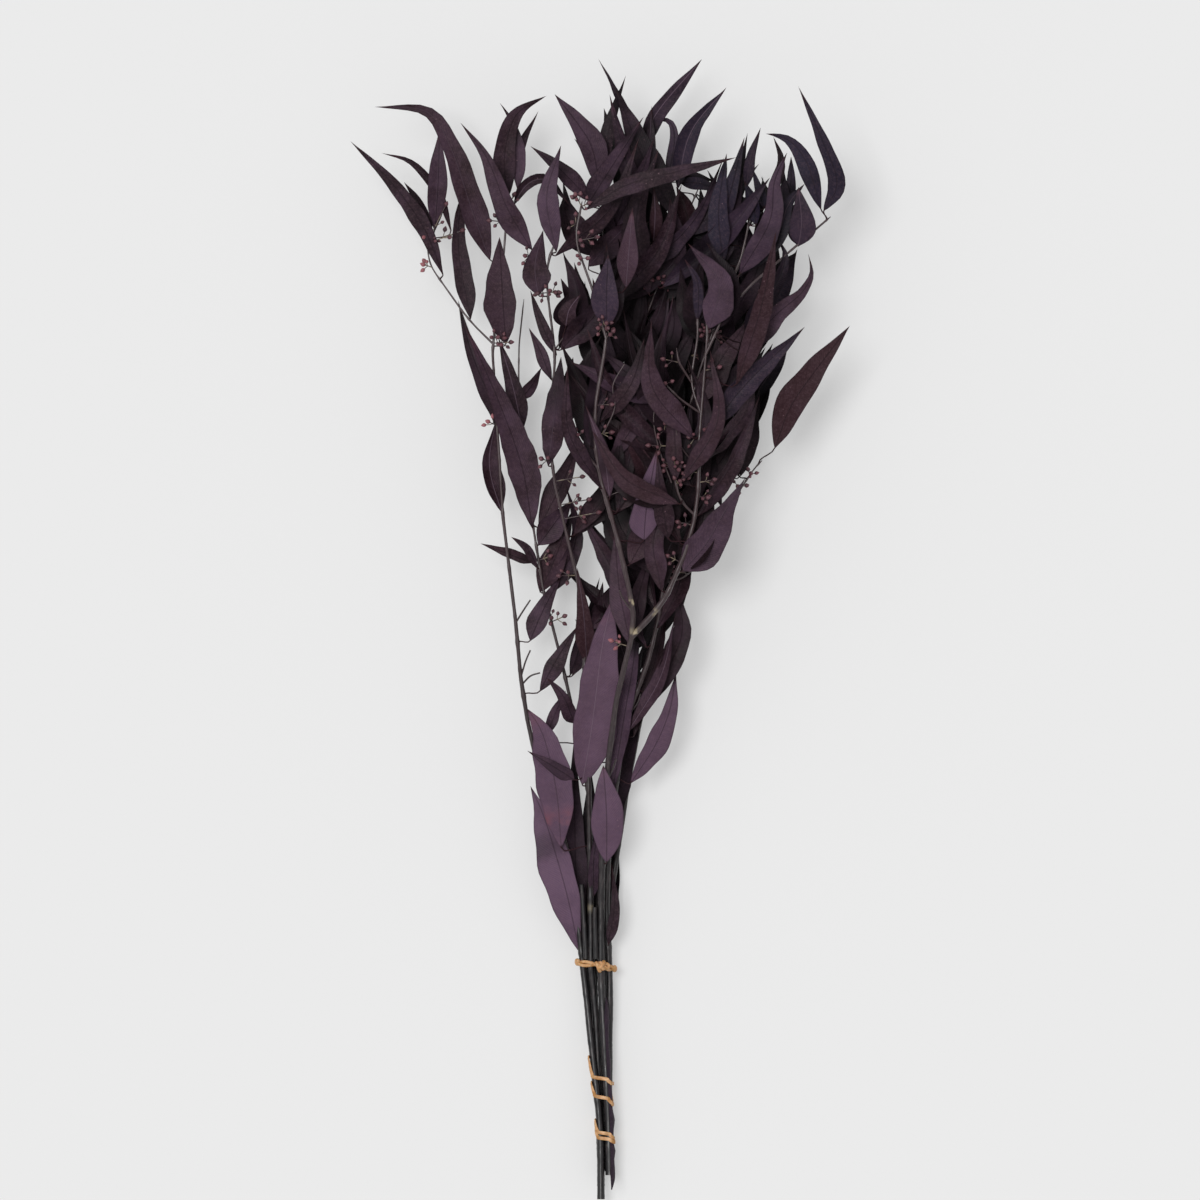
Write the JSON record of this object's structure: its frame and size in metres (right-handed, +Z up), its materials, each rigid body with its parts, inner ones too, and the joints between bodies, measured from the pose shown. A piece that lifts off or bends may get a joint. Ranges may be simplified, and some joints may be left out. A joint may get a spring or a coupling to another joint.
{
  "type": "preserved eucalyptus bunch",
  "caption": "Tied bunch of preserved plum-dyed eucalyptus lying flat: leafy branching stems with sickle-shaped leaves and flower buds, held by tan rubber bands.",
  "frame": {"origin": "centre of the bunch's box, on the surface it lies on", "axes": "+Y along the stems from the cut ends to the leaf tips, +X to the right as seen from above, +Z up from the surface"},
  "size_m": [0.308, 0.705, 0.1092],
  "materials": {
    "leaves_left": "satin",
    "leaves_middle": "satin",
    "leaves_front": "satin",
    "leaves_right": "satin",
    "leaves_back": "satin",
    "leaves_back_right": "satin",
    "tan_rubber": "satin"
  },
  "bodies": {
    "root": {"stem_left": "leaves_left", "stem_middle": "leaves_middle", "stem_front": "leaves_front", "stem_right": "leaves_right", "stem_back": "leaves_back", "stem_back_right": "leaves_back_right", "band_lower": "tan_rubber", "band_spiral": "tan_rubber", "band_upper": "tan_rubber"}
  },
  "joints": []
}
